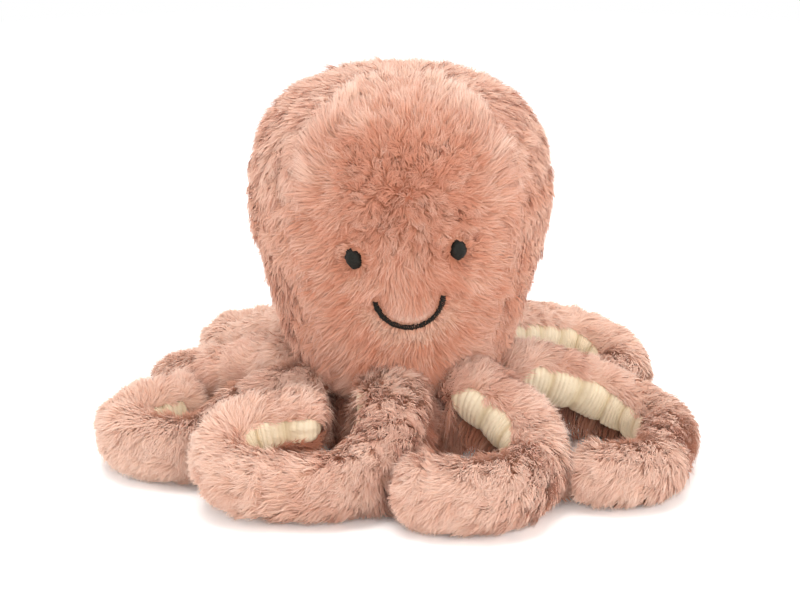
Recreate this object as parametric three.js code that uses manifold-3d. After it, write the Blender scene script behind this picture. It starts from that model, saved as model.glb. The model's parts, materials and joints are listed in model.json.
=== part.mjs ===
// Plush octopus that sits on a table with its eight arms curled.
// Millimetres, +Z up, the table is z = 0 and the face looks along -Y.
// Sizes are taken over the lying pile of the fur, about its mean surface.

import * as THREE from "three";
import { mergeVertices } from "three/addons/utils/BufferGeometryUtils.js";
import Module from "manifold-3d";

const wasm = await Module();
wasm.setup();
const radians = THREE.MathUtils.degToRad;

// Head: a pear-shaped sack of four gores, widest above the eyes
const headHeight = 111;
const headWidth = 86;
const furThickness = 3.2;
const seamGap = 0.3;
const seamDrawIn = 1.8;
const sewingGap = 0.3;
const stuffingGap = 0.9;
const crownShare = 0.9;
const goreRows = 11;
const goreColumns = 5;
const faceGoreColumns = 8;
const stuffingRows = 9;
const stuffingColumns = 16;
// How far out and how far up the profile passes, from the base seam to the dimple of the crown
const headProfileShares = [
  [0.49, 0.176],
  [0.65, 0.218],
  [0.735, 0.28],
  [0.795, 0.36],
  [0.885, 0.477],
  [0.968, 0.595],
  [1, 0.7],
  [0.965, 0.811],
  [0.862, 0.892],
  [0.71, 0.948],
  [0.5, 0.985],
  [0.27, 1],
  [0.03, 0.987],
];

// Face: embroidered on the front gore, a little turned and rolled
const faceTurn = radians(2.5);
const faceRoll = radians(4.5);
const faceHeight = 62;
const eyeSpacing = 28.6;
const eyeRise = 6.4;
const eyeWidth = 4.9;
const eyeHeight = 6.1;
const eyeThickness = 1.6;
const eyeSink = 1;
const eyeEdgeShare = 0.4;
const mouthWidth = 19.4;
const mouthDepth = 9.4;
const mouthDrop = 5;
const mouthThread = 1.9;
const mouthSweep = radians(82);
const mouthSpots = 9;
const mouthSteps = 18;
const stitchGap = 0.35;
const cutOverrun = 3;
const muzzleRise = 1.8;
const muzzleWidth = 15;
const muzzleHeight = 11;
const muzzleDrop = 11;

// Base: a round gathered panel with a flat sole, and the bean pouch that it holds
const soleRadius = 17;
const baseRadius = 20.6;
const baseThickness = 2;
const baseSides = 24;
const pouchRadiusShare = 0.92;

// Arms: every curl turns clockwise seen from above
const rootRadius = 31;
const rootHalfHeight = 9.2;
const rootGap = 0.6;
const armFur = 2.6;
const tipRoundShare = 0.5;
const liftLimit = radians(25);
const socketReach = 16;
const socketSides = 14;
const capAngles = [30, 58, 85].map(radians);
const stripAboveAngle = radians(32);
const stripBelowAngle = radians(74);
const slitHalfAngle = radians(6);
const rootSlit = 3;
const tipSlit = 3;
const stationApart = 3.5;
const stripSink = 1.1;
const stripThickness = 1.4;
const gatherDepth = 0.7;
const gatherPitch = 8;
const stripGap = 0.7;
const armFacets = 8;
const stripFacets = 4;
const stuffingFacets = 6;
const stationSpacing = 10;
const stationTurn = radians(26);
const tangentReach = 0.5;
const tipLiftFromShare = 0.45;

// Where each arm leaves the body, which way it aims off its radius and how it runs and bends
const arms = [
  {
    place: "front", azimuth: -4, aim: 4, rootHeight: 26, fall: 34, tipLift: 11,
    rootHalfWidth: 10.8, halfWidth: 8.8, halfHeight: 9.8,
    route: [{ run: 6, bend: 24, turn: 88 }, { run: 12, bend: 10.6, turn: 180 }, { run: 12.5 }],
  },
  {
    place: "front_right", azimuth: 35, aim: 20, rootHeight: 26, fall: 38, tipLift: 0,
    rootHalfWidth: 9.4, halfWidth: 9.6, halfHeight: 10.6,
    route: [{ run: 16, bend: 14, turn: 76 }, { run: 9, bend: 16, turn: 95 }, { run: 6 }],
  },
  {
    place: "right", azimuth: 85, aim: 16, rootHeight: 23, fall: 50, tipLift: 0,
    rootHalfWidth: 9.2, halfWidth: 9, halfHeight: 9,
    route: [{ run: 22, bend: 19, turn: 112 }, { run: 18, bend: 12.5, turn: 108 }],
  },
  {
    place: "back_right", azimuth: 129, aim: 8, rootHeight: 26, fall: 72, tipLift: 0,
    rootHalfWidth: 9.2, halfWidth: 9.2, halfHeight: 9.6,
    route: [{ run: 29.5, bend: 12, turn: 160 }, { run: 4.5, bend: 11, turn: 26 }],
  },
  {
    place: "back", azimuth: 173, aim: 6, rootHeight: 23, fall: 60, tipLift: 0,
    rootHalfWidth: 9.2, halfWidth: 9.2, halfHeight: 9.2,
    route: [{ run: 36, bend: 12, turn: 160 }, { run: 4, bend: 11, turn: 40 }, { run: 6 }],
  },
  {
    place: "back_left", azimuth: -142, aim: 8, rootHeight: 26, fall: 52, tipLift: 0,
    rootHalfWidth: 9.2, halfWidth: 9, halfHeight: 9,
    route: [{ run: 41, bend: 12, turn: 160 }, { run: 8, bend: 11, turn: 40 }],
  },
  {
    place: "left", azimuth: -99, aim: -12, rootHeight: 22, fall: 50, tipLift: 0,
    rootHalfWidth: 9.2, halfWidth: 8.8, halfHeight: 8.8,
    route: [{ run: 28, bend: 11, turn: 132 }, { run: 3 }],
  },
  {
    place: "front_left", azimuth: -60.7, aim: -17, rootHeight: 21, fall: 36, tipLift: 2,
    rootHalfWidth: 9, halfWidth: 8.8, halfHeight: 9.5,
    route: [{ run: 14.5, bend: 20, turn: -33 }, { run: 3, bend: 13.8, turn: 200 }, { run: 7 }],
  },
];

const rosePile = new THREE.MeshStandardMaterial({ color: "#d89f88", roughness: 0.95, metalness: 0 });
const creamRib = new THREE.MeshStandardMaterial({ color: "#e7dcc4", roughness: 0.9, metalness: 0 });
const fibreFill = new THREE.MeshStandardMaterial({ color: "#f4f1ea", roughness: 1, metalness: 0 });
const pouchCloth = new THREE.MeshStandardMaterial({ color: "#efe8da", roughness: 0.9, metalness: 0 });
const blackThread = new THREE.MeshStandardMaterial({ color: "#1d211d", roughness: 0.6, metalness: 0 });

// Numbers from 0 to 1 in equal steps.
const steps = (count) => Array.from({ length: count + 1 }, (_, i) => i / count);
// The angles of a whole turn in equal steps.
const turns = (count) => Array.from({ length: count }, (_, i) => (i / count) * 2 * Math.PI);
const mix = THREE.MathUtils.lerp;
const ease = (value) => THREE.MathUtils.smoothstep(value, 0, 1);

function bodyOf(points, faces) {
  const geometry = new THREE.BufferGeometry().setFromPoints(points);
  geometry.setIndex(faces);
  return geometry;
}

// A closed shell between two grids of points of one size, joined round their four edges.
function shell(outer, inner) {
  const rows = outer.length;
  const columns = outer[0].length;
  const at = (layer, i, j) => (layer * rows + i) * columns + j;
  const faces = [];
  const quad = (a, b, c, d) => faces.push(a, b, c, a, c, d);
  for (let i = 0; i < rows - 1; i += 1)
    for (let j = 0; j < columns - 1; j += 1) {
      quad(at(0, i, j), at(0, i, j + 1), at(0, i + 1, j + 1), at(0, i + 1, j));
      quad(at(1, i, j), at(1, i + 1, j), at(1, i + 1, j + 1), at(1, i, j + 1));
    }
  const top = rows - 1;
  for (let j = 0; j < columns - 1; j += 1) {
    quad(at(1, 0, j), at(1, 0, j + 1), at(0, 0, j + 1), at(0, 0, j));
    quad(at(0, top, j), at(0, top, j + 1), at(1, top, j + 1), at(1, top, j));
  }
  const far = columns - 1;
  for (let i = 0; i < rows - 1; i += 1) {
    quad(at(0, i, 0), at(0, i + 1, 0), at(1, i + 1, 0), at(1, i, 0));
    quad(at(1, i, far), at(1, i + 1, far), at(0, i + 1, far), at(0, i, far));
  }
  return bodyOf([...outer.flat(), ...inner.flat()], faces);
}

// A closed solid through a row of rings, with each end closed by a fan.
function plug(rings) {
  const around = rings[0].length;
  const last = rings.length - 1;
  const at = (i, j) => i * around + (j % around);
  const faces = [];
  for (let i = 0; i < last; i += 1)
    for (let j = 0; j < around; j += 1) {
      faces.push(at(i, j), at(i, j + 1), at(i + 1, j + 1));
      faces.push(at(i, j), at(i + 1, j + 1), at(i + 1, j));
    }
  const middle = (ring) =>
    ring.reduce((sum, point) => sum.add(point), new THREE.Vector3()).divideScalar(around);
  const points = [...rings.flat(), middle(rings[0]), middle(rings[last])];
  const [start, end] = [points.length - 2, points.length - 1];
  for (let j = 0; j < around; j += 1) faces.push(start, at(0, j + 1), at(0, j), end, at(last, j), at(last, j + 1));
  return bodyOf(points, faces);
}

function solidOf(geometry) {
  const bare = geometry.clone();
  bare.deleteAttribute("normal");
  bare.deleteAttribute("uv");
  const merged = mergeVertices(bare, 1e-4);
  const vertProperties = new Float32Array(merged.attributes.position.array);
  const triVerts = new Uint32Array(merged.index.array);
  return new wasm.Manifold(new wasm.Mesh({ numProp: 3, vertProperties, triVerts }));
}

function cut(geometry, cutters) {
  const solid = cutters.reduce((rest, cutter) => rest.subtract(solidOf(cutter)), solidOf(geometry));
  const mesh = solid.getMesh();
  const points = [];
  for (let i = 0; i < mesh.numVert; i += 1)
    points.push(new THREE.Vector3().fromArray(mesh.vertProperties, i * mesh.numProp));
  return bodyOf(points, Array.from(mesh.triVerts));
}

function piece(name, geometry, material) {
  geometry.computeVertexNormals();
  const mesh = new THREE.Mesh(geometry, material);
  mesh.name = name;
  return mesh;
}

// The head's surface: azimuth 0 is the front and grows toward +X, along runs up the profile
const headProfile = new THREE.SplineCurve(
  headProfileShares.map(([out, up]) => new THREE.Vector2((out * headWidth) / 2, up * headHeight)),
);

function headPoint(azimuth, along, inset = 0) {
  const spot = headProfile.getPoint(along);
  const run = headProfile.getTangent(along);
  const fullness = spot.x / (headWidth / 2);
  const seam = Math.sin(2 * (azimuth - faceTurn)) ** 4;
  const aside = (spot.x * (azimuth - faceTurn)) / muzzleWidth;
  const above = (spot.y - faceHeight + muzzleDrop) / muzzleHeight;
  const turned = Math.abs(azimuth) < Math.PI / 2 ? muzzleRise * Math.exp(-aside * aside - above * above) : 0;
  const radius = spot.x - seamDrawIn * fullness * seam + turned - inset * run.y;
  const height = spot.y + inset * run.x;
  return new THREE.Vector3(radius * Math.sin(azimuth), -radius * Math.cos(azimuth), height);
}

// The share of the profile at a height, found by halving below the crown's dimple.
function alongAt(height) {
  let [low, high] = [0, crownShare];
  while (high - low > 1e-5) {
    const middle = (low + high) / 2;
    if (headProfile.getPoint(middle).y < height) low = middle;
    else high = middle;
  }
  return low;
}

function goreGrid(from, to, columns, inset) {
  return steps(goreRows).map((along) => {
    const radius = headProfile.getPoint(along).x;
    const trim = Math.asin(seamGap / 2 / radius);
    return steps(columns).map((share) => headPoint(mix(from + trim, to - trim, share), along, inset));
  });
}

function gore(quarter, columns, cutters) {
  const from = faceTurn + (quarter - 0.5) * (Math.PI / 2);
  const to = from + Math.PI / 2;
  const sewn = shell(goreGrid(from, to, columns, 0), goreGrid(from, to, columns, furThickness));
  return cut(sewn, cutters);
}

function headStuffing(cutters) {
  const [lowestShare, highestShare] = [0.04, 0.97];
  const rings = steps(stuffingRows).map((share) => {
    const along = mix(lowestShare, highestShare, share);
    return turns(stuffingColumns).map((angle) => headPoint(angle - Math.PI, along, furThickness + stuffingGap));
  });
  return cut(plug(rings), cutters);
}

// A place on the face, by its distance across and up from the face's middle, with its outward axis.
function facePlace(across, rise, inset = 0) {
  const height = faceHeight + rise * Math.cos(faceRoll) + across * Math.sin(faceRoll);
  const aside = across * Math.cos(faceRoll) - rise * Math.sin(faceRoll);
  const along = alongAt(height);
  const azimuth = faceTurn + aside / headProfile.getPoint(along).x;
  const spot = headPoint(azimuth, along, inset);
  const outward = headPoint(azimuth, along).sub(headPoint(azimuth, along, furThickness)).normalize();
  return { spot, outward };
}

// Turns an oval solid that stands on a flat back onto its place on the face.
function seatEye(oval, side) {
  const { spot, outward } = facePlace((side * eyeSpacing) / 2, eyeRise, eyeSink);
  const up = new THREE.Vector3(-Math.sin(faceRoll), 0, Math.cos(faceRoll));
  const across = new THREE.Vector3().crossVectors(outward, up).normalize();
  const frame = new THREE.Matrix4().makeBasis(across, outward, new THREE.Vector3().crossVectors(across, outward));
  return oval.applyMatrix4(frame.setPosition(spot));
}

// An oval pad of satin stitches with a flat back and a domed front.
function eyePad(side) {
  const rim = eyeThickness * eyeEdgeShare;
  const dome = steps(3).map((share) => (share * Math.PI) / 2);
  const outline = dome.map(
    (angle, i) => new THREE.Vector2(i === 3 ? 0 : Math.cos(angle), mix(rim, eyeThickness, Math.sin(angle))),
  );
  const pad = new THREE.LatheGeometry([new THREE.Vector2(0, 0), new THREE.Vector2(1, 0), ...outline], 14);
  return seatEye(pad.scale(eyeWidth / 2, 1, eyeHeight / 2), side);
}

// The pocket that the pad lies in, open to the front.
function eyePocket(side) {
  const mouth = eyeThickness + cutOverrun;
  const outline = [[0, 0], [1, 0], [1, 1], [0, 1]].map(([out, up]) => new THREE.Vector2(out, up));
  const pocket = new THREE.LatheGeometry(outline, 14);
  pocket.scale(eyeWidth / 2 + stitchGap, mouth + stitchGap, eyeHeight / 2 + stitchGap);
  return seatEye(pocket.translate(0, -stitchGap, 0), side);
}

// The smile: a round stitched cord half sunk in the pile, or the groove that it lies in.
function smile(clearance) {
  const route = steps(mouthSpots - 1).map((share) => {
    const angle = mix(-mouthSweep, mouthSweep, share);
    const across = ((mouthWidth / 2) * Math.sin(angle)) / Math.sin(mouthSweep);
    return facePlace(across, -mouthDrop - mouthDepth * Math.cos(angle), mouthThread / 4).spot;
  });
  const radius = mouthThread / 2 + clearance;
  const section = new THREE.Shape(
    turns(8).map((angle) => new THREE.Vector2(radius * Math.cos(angle), radius * Math.sin(angle))),
  );
  if (clearance > 0) {
    const [first, second] = route;
    route.unshift(first.clone().add(first.clone().sub(second).setLength(clearance)));
    const [before, end] = route.slice(-2);
    route.push(end.clone().add(end.clone().sub(before).setLength(clearance)));
  }
  const extrudePath = new THREE.CatmullRomCurve3(route);
  return new THREE.ExtrudeGeometry(section, { steps: mouthSteps, extrudePath, bevelEnabled: false });
}

// Base panel and bean pouch, turned round the middle axis below the gores' lower edge
const baseTop = headProfileShares[0][1] * headHeight - sewingGap;

function lathe(outline, sides) {
  const turned = new THREE.LatheGeometry(outline.map(([out, up]) => new THREE.Vector2(out, up)), sides);
  return turned.rotateX(Math.PI / 2);
}

function basePanel() {
  const heel = (baseRadius - soleRadius) * 0.9;
  const wall = baseThickness;
  return lathe(
    [
      [0, 0],
      [soleRadius, 0],
      [mix(soleRadius, baseRadius, 0.7), heel * 0.3],
      [baseRadius, heel],
      [baseRadius, baseTop - sewingGap],
      [baseRadius - wall, baseTop - sewingGap],
      [baseRadius - wall, heel + wall],
      [soleRadius - wall / 2, wall],
      [0, wall],
    ],
    baseSides,
  );
}

function beanPouch() {
  const floor = baseThickness + sewingGap;
  const room = baseTop - floor - sewingGap * 2;
  const reach = (baseRadius - baseThickness) * pouchRadiusShare;
  const shares = [[0.6, 0], [0.86, 0.14], [1, 0.45], [0.93, 0.75], [0.6, 0.97]];
  const outline = shares.map(([out, up]) => [out * reach, floor + up * room]);
  return lathe([[0, floor], ...outline, [0, floor + room]], 20);
}

// Arms, each in its own frame: the root's turning point is the origin and the arm sets off along +X
function routeLength(arm) {
  return arm.route.reduce((sum, leg) => sum + leg.run + (leg.bend ?? 0) * radians(Math.abs(leg.turn ?? 0)), 0);
}

function halfWidthAt(arm, distance) {
  return mix(arm.rootHalfWidth, arm.halfWidth, ease(distance / arm.fall));
}

function halfHeightAt(arm, distance) {
  return mix(rootHalfHeight, arm.halfHeight, ease(distance / arm.fall));
}

// The middle line: runs and bends in plan, while it falls to the table and may lift at the tip.
function middleAt(arm, distance) {
  const spot = new THREE.Vector3();
  const right = (heading) => new THREE.Vector3(Math.sin(heading), -Math.cos(heading), 0);
  let heading = 0;
  let left = Math.max(distance, 0);
  for (const leg of arm.route) {
    const straight = Math.min(left, leg.run);
    spot.x += straight * Math.cos(heading);
    spot.y += straight * Math.sin(heading);
    left -= straight;
    if (!leg.turn) continue;
    const angle = Math.min(left / leg.bend, radians(Math.abs(leg.turn))) * Math.sign(leg.turn);
    const bend = leg.bend * Math.sign(leg.turn);
    spot.addScaledVector(right(heading), bend);
    heading -= angle;
    spot.addScaledVector(right(heading), -bend);
    left = Math.max(0, left - Math.abs(angle) * leg.bend);
  }
  const fallen = ease(distance / arm.fall);
  const lifted = (distance / routeLength(arm) - tipLiftFromShare) / (1 - tipLiftFromShare);
  spot.z = fallen * (arm.halfHeight - arm.rootHeight) + arm.tipLift * ease(lifted);
  return spot;
}

// A section of an arm, square to its middle line: toward the curl's inside, and downward from it.
function sectionAt(arm, distance, cap, inset) {
  const ahead = middleAt(arm, distance + tangentReach).sub(middleAt(arm, distance - tangentReach)).normalize();
  if (distance === 0) ahead.set(1, 0, 0);
  const inside = new THREE.Vector3().crossVectors(ahead, new THREE.Vector3(0, 0, 1)).normalize();
  const down = new THREE.Vector3().crossVectors(ahead, inside);
  const width = halfWidthAt(arm, distance) - inset;
  const height = halfHeightAt(arm, distance) - inset;
  const round = cap > 0 ? tipRoundShare : 1;
  const middle = middleAt(arm, distance).addScaledVector(ahead, height * Math.sin(cap) * round);
  return { middle, inside, down, width: width * Math.cos(cap), height: height * Math.cos(cap) };
}

function around(section, angle, sink = 0) {
  return section.middle
    .clone()
    .addScaledVector(section.inside, (section.width - sink) * Math.cos(angle))
    .addScaledVector(section.down, (section.height - sink) * Math.sin(angle));
}

// Stations along an arm: close together in the bends, one at each end of the strip, and a rounded
// cap before and after.
function stations(arm) {
  const length = routeLength(arm);
  const stripEnds = [rootSlit, length - tipSlit];
  const between = [];
  let start = 0;
  const add = (reach, count) => {
    for (const share of steps(count).slice(1)) between.push(start + reach * share);
    start += reach;
  };
  for (const leg of arm.route) {
    if (leg.run > 0) add(leg.run, Math.max(1, Math.round(leg.run / stationSpacing)));
    const turn = radians(Math.abs(leg.turn ?? 0));
    if (turn > 0) add(leg.bend * turn, Math.max(1, Math.round(turn / stationTurn)));
  }
  const clear = between.filter((distance) => stripEnds.every((end) => Math.abs(distance - end) > stationApart));
  const inner = [...clear, ...stripEnds].filter((distance) => distance < length).sort((a, b) => a - b);
  const main = [0, ...inner, length].map((distance) => ({ distance, cap: 0 }));
  const caps = (distance, sign) => capAngles.map((angle) => ({ distance, cap: sign * angle }));
  return [...caps(0, -1).reverse(), ...main, ...caps(length, 1)];
}

// How far the cover stands open below and above the curl's inside, narrowing to a slit at both ends.
function openingAt(arm, distance) {
  const fromRoot = distance / (2 * rootSlit);
  const fromTip = (routeLength(arm) - distance) / (2 * tipSlit);
  const open = ease(Math.min(fromRoot, fromTip));
  return [mix(slitHalfAngle, stripBelowAngle, open), mix(slitHalfAngle, stripAboveAngle, open)];
}

function armCover(arm) {
  const grid = (inset) =>
    stations(arm).map(({ distance, cap }) => {
      const section = sectionAt(arm, distance, cap, inset);
      const [below, above] = openingAt(arm, distance);
      return steps(armFacets).map((share) => around(section, mix(below, 2 * Math.PI - above, share)));
    });
  return shell(grid(0), grid(armFur));
}

// The cream strip inside the curl, drawn up into gathers between the stations of the cover.
function gatheredStrip(arm) {
  const length = routeLength(arm);
  const open = stations(arm).filter(({ distance }) => distance >= rootSlit && distance <= length - tipSlit);
  const row = ({ distance }, sink) => {
    const section = sectionAt(arm, distance, 0, stripSink);
    const [below, above] = openingAt(arm, distance);
    const edge = stripGap / (section.width - stripThickness - gatherDepth);
    return steps(stripFacets).map((share) => around(section, mix(edge - above, below - edge, share), sink));
  };
  const grid = (crest, valley) => {
    const rows = [row(open[0], crest)];
    for (let i = 1; i < open.length; i += 1) {
      const folds = Math.max(1, Math.round((open[i].distance - open[i - 1].distance) / gatherPitch));
      for (let fold = 1; fold <= 2 * folds; fold += 1) {
        const sink = fold % 2 ? valley : crest;
        const [from, to] = [row(open[i - 1], sink), row(open[i], sink)];
        rows.push(from.map((point, j) => point.clone().lerp(to[j], fold / (2 * folds))));
      }
    }
    return rows;
  };
  const back = stripThickness + gatherDepth;
  return shell(grid(0, gatherDepth), grid(back, back));
}

function armStuffing(arm) {
  const inset = stripSink + stripThickness + gatherDepth + stuffingGap;
  const rings = stations(arm).map(({ distance, cap }) => {
    const section = sectionAt(arm, distance, cap, inset);
    return turns(stuffingFacets).map((angle) => around(section, angle));
  });
  return plug(rings);
}

function armGroup(arm) {
  const group = new THREE.Group();
  const azimuth = radians(arm.azimuth);
  group.position.set(rootRadius * Math.sin(azimuth), -rootRadius * Math.cos(azimuth), arm.rootHeight);
  group.rotation.z = azimuth - Math.PI / 2 + radians(arm.aim);
  group.updateMatrixWorld();
  return group;
}

// The socket that an arm's rounded root turns in, open upward for the lifted arm: a cutter for the body.
function rootSocket(arm) {
  const [width, height] = [arm.rootHalfWidth + rootGap, rootHalfHeight + rootGap];
  const ahead = new THREE.Vector3(Math.cos(liftLimit), 0, Math.sin(liftLimit));
  const above = new THREE.Vector3(-Math.sin(liftLimit), 0, Math.cos(liftLimit));
  const ring = (distance, cap) =>
    turns(socketSides).map((angle) =>
      new THREE.Vector3()
        .addScaledVector(ahead, distance + height * Math.sin(cap))
        .addScaledVector(above, -height * Math.cos(cap) * Math.sin(angle))
        .add(new THREE.Vector3(0, -width * Math.cos(cap) * Math.cos(angle), 0)),
    );
  const backCaps = capAngles.map((angle) => ring(0, -angle)).reverse();
  return plug([...backCaps, ring(0, 0), ring(socketReach, 0)]).applyMatrix4(armGroup(arm).matrixWorld);
}

const octopus = new THREE.Group();
octopus.name = "plush_octopus";

const sockets = arms.map(rootSocket);
const stitching = [eyePocket(-1), eyePocket(1), smile(stitchGap)];
octopus.add(piece("head_gore_front", gore(0, faceGoreColumns, [...sockets, ...stitching]), rosePile));
octopus.add(piece("head_gore_right", gore(1, goreColumns, sockets), rosePile));
octopus.add(piece("head_gore_back", gore(2, goreColumns, sockets), rosePile));
octopus.add(piece("head_gore_left", gore(3, goreColumns, sockets), rosePile));
octopus.add(piece("head_stuffing", headStuffing(sockets), fibreFill));
octopus.add(piece("eye_left", eyePad(-1), blackThread));
octopus.add(piece("eye_right", eyePad(1), blackThread));
octopus.add(piece("mouth_stitching", smile(0), blackThread));
octopus.add(piece("base_panel", basePanel(), rosePile));
octopus.add(piece("bean_pouch", beanPouch(), pouchCloth));

for (const arm of arms) {
  const group = armGroup(arm);
  group.name = `arm_${arm.place}`;
  group.add(piece(`arm_${arm.place}_cover`, armCover(arm), rosePile));
  group.add(piece(`arm_${arm.place}_strip`, gatheredStrip(arm), creamRib));
  group.add(piece(`arm_${arm.place}_stuffing`, armStuffing(arm), fibreFill));
  octopus.add(group);
}

export default octopus;
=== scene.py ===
"""A plush octopus with a fur head, a stitched face and eight curled arms lined with gathered ribbed cloth.

It sits on a white table and its face looks along -Y. Its pieces are worked out in millimetres
and made in metres.
"""

import json
import math

import bpy
import numpy as np
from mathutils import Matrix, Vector


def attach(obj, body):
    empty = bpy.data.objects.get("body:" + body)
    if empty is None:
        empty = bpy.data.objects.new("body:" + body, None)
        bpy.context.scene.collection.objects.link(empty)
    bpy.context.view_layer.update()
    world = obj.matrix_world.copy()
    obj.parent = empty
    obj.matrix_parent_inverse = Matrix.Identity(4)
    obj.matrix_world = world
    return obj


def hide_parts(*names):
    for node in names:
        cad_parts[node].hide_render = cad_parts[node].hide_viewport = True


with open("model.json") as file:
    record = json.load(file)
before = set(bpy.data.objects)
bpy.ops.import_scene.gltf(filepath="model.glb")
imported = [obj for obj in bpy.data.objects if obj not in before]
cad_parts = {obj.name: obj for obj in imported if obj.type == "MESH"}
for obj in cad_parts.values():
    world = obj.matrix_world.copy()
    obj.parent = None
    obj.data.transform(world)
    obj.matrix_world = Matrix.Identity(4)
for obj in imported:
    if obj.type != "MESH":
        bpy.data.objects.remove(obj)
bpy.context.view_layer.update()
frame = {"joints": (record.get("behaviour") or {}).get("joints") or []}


# The table: a matt white sheet that curves up far behind the toy, lit by a large soft box
# overhead, a wide fill from the camera's side, weaker ones from both sides and from behind,
# and an even white room.

mm = 0.001


def linear(hex_colour):
    """An sRGB hex colour as linear red, green, blue and alpha."""
    shares = [int(hex_colour[i : i + 2], 16) / 255 for i in (1, 3, 5)]
    return [c / 12.92 if c <= 0.04045 else ((c + 0.055) / 1.055) ** 2.4 for c in shares] + [1]


def add(nodes, kind, settings=None, **links):
    """Adds a shader node, sets its properties and input values, and links its inputs by name."""
    node = nodes.nodes.new(kind)
    for key, value in (settings or {}).items():
        if isinstance(key, int) or key in node.inputs:
            node.inputs[key].default_value = value
        else:
            setattr(node, key, value)
    for key, source in links.items():
        nodes.links.new(source, node.inputs[key.replace("_", " ")])
    return node


def new_material(name):
    """An empty node material, and its node tree."""
    material = bpy.data.materials.new(name)
    material.use_nodes = True
    material.node_tree.nodes.clear()
    return material, material.node_tree


def background_rays(nodes):
    """1 for the rays that show the background: the camera's, and those mirrored or passed on to it."""
    path = add(nodes, "ShaderNodeLightPath")
    shown = path.outputs["Is Camera Ray"]
    for kind in ("Is Glossy Ray", "Is Transmission Ray"):
        either = add(nodes, "ShaderNodeMath", {"operation": "MAXIMUM"})
        nodes.links.new(shown, either.inputs[0])
        nodes.links.new(path.outputs[kind], either.inputs[1])
        shown = either.outputs[0]
    return shown


def matt_white_paper():
    """Uncoated white paper: even and matt. The camera sees it lighter, and plain white away from the toy."""
    white_from, white_past = 0.25, 0.6
    material, nodes = new_material("uncoated white paper")
    coordinates = add(nodes, "ShaderNodeTexCoord").outputs["Object"]
    mottle = add(nodes, "ShaderNodeTexNoise", {"Scale": 40.0, "Detail": 3.0}, Vector=coordinates)
    tone = add(nodes, "ShaderNodeMix", {"data_type": "RGBA"}, Factor=mottle.outputs["Fac"])
    tone.inputs[6].default_value = linear("#f6f6f5")
    tone.inputs[7].default_value = linear("#fafaf9")
    paper = add(nodes, "ShaderNodeBsdfDiffuse", Color=tone.outputs[2])
    extra = add(nodes, "ShaderNodeBsdfDiffuse", {"Color": (0.55, 0.55, 0.55, 1)})
    lighter = add(nodes, "ShaderNodeAddShader")
    nodes.links.new(paper.outputs[0], lighter.inputs[0])
    nodes.links.new(extra.outputs[0], lighter.inputs[1])
    distance = add(nodes, "ShaderNodeVectorMath", {"operation": "LENGTH"})
    nodes.links.new(coordinates, distance.inputs[0])
    reach = {"From Min": white_from, "From Max": white_past}
    far = add(nodes, "ShaderNodeMapRange", reach, Value=distance.outputs["Value"])
    white = add(nodes, "ShaderNodeEmission", {"Color": (1, 1, 1, 1), "Strength": 1.0})
    sheet = add(nodes, "ShaderNodeMixShader", Fac=far.outputs["Result"])
    nodes.links.new(lighter.outputs[0], sheet.inputs[1])
    nodes.links.new(white.outputs[0], sheet.inputs[2])
    choice = add(nodes, "ShaderNodeMixShader", Fac=background_rays(nodes))
    nodes.links.new(paper.outputs[0], choice.inputs[1])
    nodes.links.new(sheet.outputs[0], choice.inputs[2])
    add(nodes, "ShaderNodeOutputMaterial", Surface=choice.outputs[0])
    return material


def table_sheet():
    """The sheet: flat under the toy, then a quarter turn up, two metres behind it."""
    half_width, front, bend, rise = 3.0, -2.0, 2.0, 2.0
    arc = [(bend + rise * math.sin(a), rise * (1 - math.cos(a))) for a in np.linspace(0, math.pi / 2, 13)]
    outline = [(front, 0.0)] + arc
    points = [(x, y, z) for y, z in outline for x in (-half_width, half_width)]
    faces = [(2 * i, 2 * i + 1, 2 * i + 3, 2 * i + 2) for i in range(len(outline) - 1)]
    mesh = bpy.data.meshes.new("table_sheet")
    mesh.from_pydata(points, [], faces)
    mesh.shade_smooth()
    mesh.materials.append(matt_white_paper())
    sheet = bpy.data.objects.new("table_sheet", mesh)
    bpy.context.scene.collection.objects.link(sheet)


def look_from(thing, place, target):
    """Stands a lamp or the camera at a place and turns it to face the target."""
    thing.location = place
    thing.rotation_euler = (Vector(target) - Vector(place)).to_track_quat("-Z", "Y").to_euler()
    bpy.context.scene.collection.objects.link(thing)


def soft_box(name, place, size, power):
    """A rectangular studio lamp that faces the toy."""
    lamp = bpy.data.lights.new(name, "AREA")
    lamp.shape = "RECTANGLE"
    lamp.size, lamp.size_y = size
    lamp.energy = power
    look_from(bpy.data.objects.new(name, lamp), place, (0, 0, 0.05))


def white_room():
    """Dim white light from all round, and plain white where the room itself is seen."""
    world = bpy.data.worlds.new("white room")
    world.use_nodes = True
    nodes = world.node_tree
    nodes.nodes.clear()
    white = linear("#ffffff")
    room = add(nodes, "ShaderNodeBackground", {"Color": white, "Strength": 0.3})
    backdrop = add(nodes, "ShaderNodeBackground", {"Color": white, "Strength": 1.0})
    choice = add(nodes, "ShaderNodeMixShader", Fac=background_rays(nodes))
    nodes.links.new(room.outputs[0], choice.inputs[1])
    nodes.links.new(backdrop.outputs[0], choice.inputs[2])
    add(nodes, "ShaderNodeOutputWorld", Surface=choice.outputs[0])
    bpy.context.scene.world = world


camera_distance, camera_rise, aim_height = 900 * mm, math.radians(17.4), 43.9 * mm
lens = bpy.data.cameras.new("camera")
lens.sensor_width, lens.lens = 36, 142.1
camera = bpy.data.objects.new("camera", lens)
reach, lift = camera_distance * math.cos(camera_rise), camera_distance * math.sin(camera_rise)
look_from(camera, (0, -reach, aim_height + lift), (0, 0, aim_height))
bpy.context.scene.camera = camera
bpy.context.scene.view_settings.view_transform = "Standard"

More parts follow.
